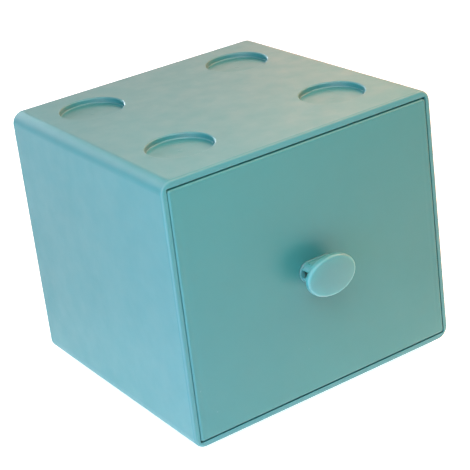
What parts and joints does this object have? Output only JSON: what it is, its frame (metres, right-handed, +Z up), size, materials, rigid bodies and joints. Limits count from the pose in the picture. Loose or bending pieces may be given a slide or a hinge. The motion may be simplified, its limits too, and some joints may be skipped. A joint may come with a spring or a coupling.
{
  "type": "desktop storage box",
  "caption": "Stackable cube-like desktop box with one pull-out drawer, an oval snap-in knob, round recesses in its top and matching feet below.",
  "frame": {"origin": "On the table plane, at the centre of the four feet's lower faces", "axes": "+Z up, -Y to the front, where the drawer opens, +X to the right as seen from the front"},
  "size_m": [0.1054, 0.1076, 0.0928],
  "materials": {
    "case_plastic": "injection-moulded polypropylene, soft satin, pale aqua",
    "drawer_plastic": "injection-moulded polypropylene, soft satin, aqua",
    "knob_plastic": "injection-moulded polypropylene, glossier and slightly translucent, pale aqua"
  },
  "bodies": {
    "case": {"case": "case_plastic"},
    "drawer": {"drawer": "drawer_plastic", "knob": "knob_plastic"}
  },
  "joints": [
    {"name": "drawer_slide", "type": "slide", "parent": "case", "child": "drawer", "axis": [0, -1, 0], "range_m": [0, 0.075]}
  ]
}
